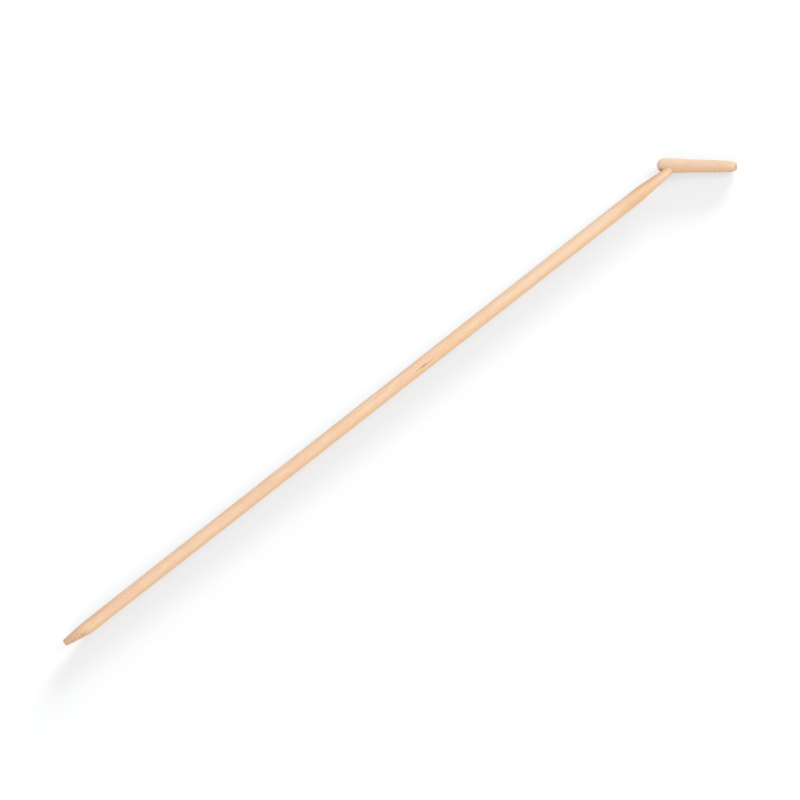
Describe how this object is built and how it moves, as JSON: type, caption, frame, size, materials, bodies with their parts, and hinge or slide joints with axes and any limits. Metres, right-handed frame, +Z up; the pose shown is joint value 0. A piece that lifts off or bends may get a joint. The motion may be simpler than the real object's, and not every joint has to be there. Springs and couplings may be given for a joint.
{
  "type": "garden dibber",
  "caption": "Standing-height wooden dibber: a round ash pole with a blunt tapered point and a turned hand grip socketed across its top at an angle, locked by a blind dowel.",
  "frame": {"origin": "on the pole's axis, in the plane of the point's flat end face", "axes": "the dibber lies as on flat ground: +X along the pole from the point to the grip, the grip's long side leans towards -Y, +Z up"},
  "size_m": [1.5784, 0.1302, 0.0287],
  "materials": {
    "pole_ash": "planed and sanded bare ash, straight grain along the pole",
    "grip_ash": "turned and sanded bare ash, grain along the grip",
    "dowel_hardwood": "hardwood dowel, end grain sanded flush"
  },
  "bodies": {
    "root": {"pole": "pole_ash", "grip": "grip_ash", "locking_dowel": "dowel_hardwood"}
  },
  "joints": []
}
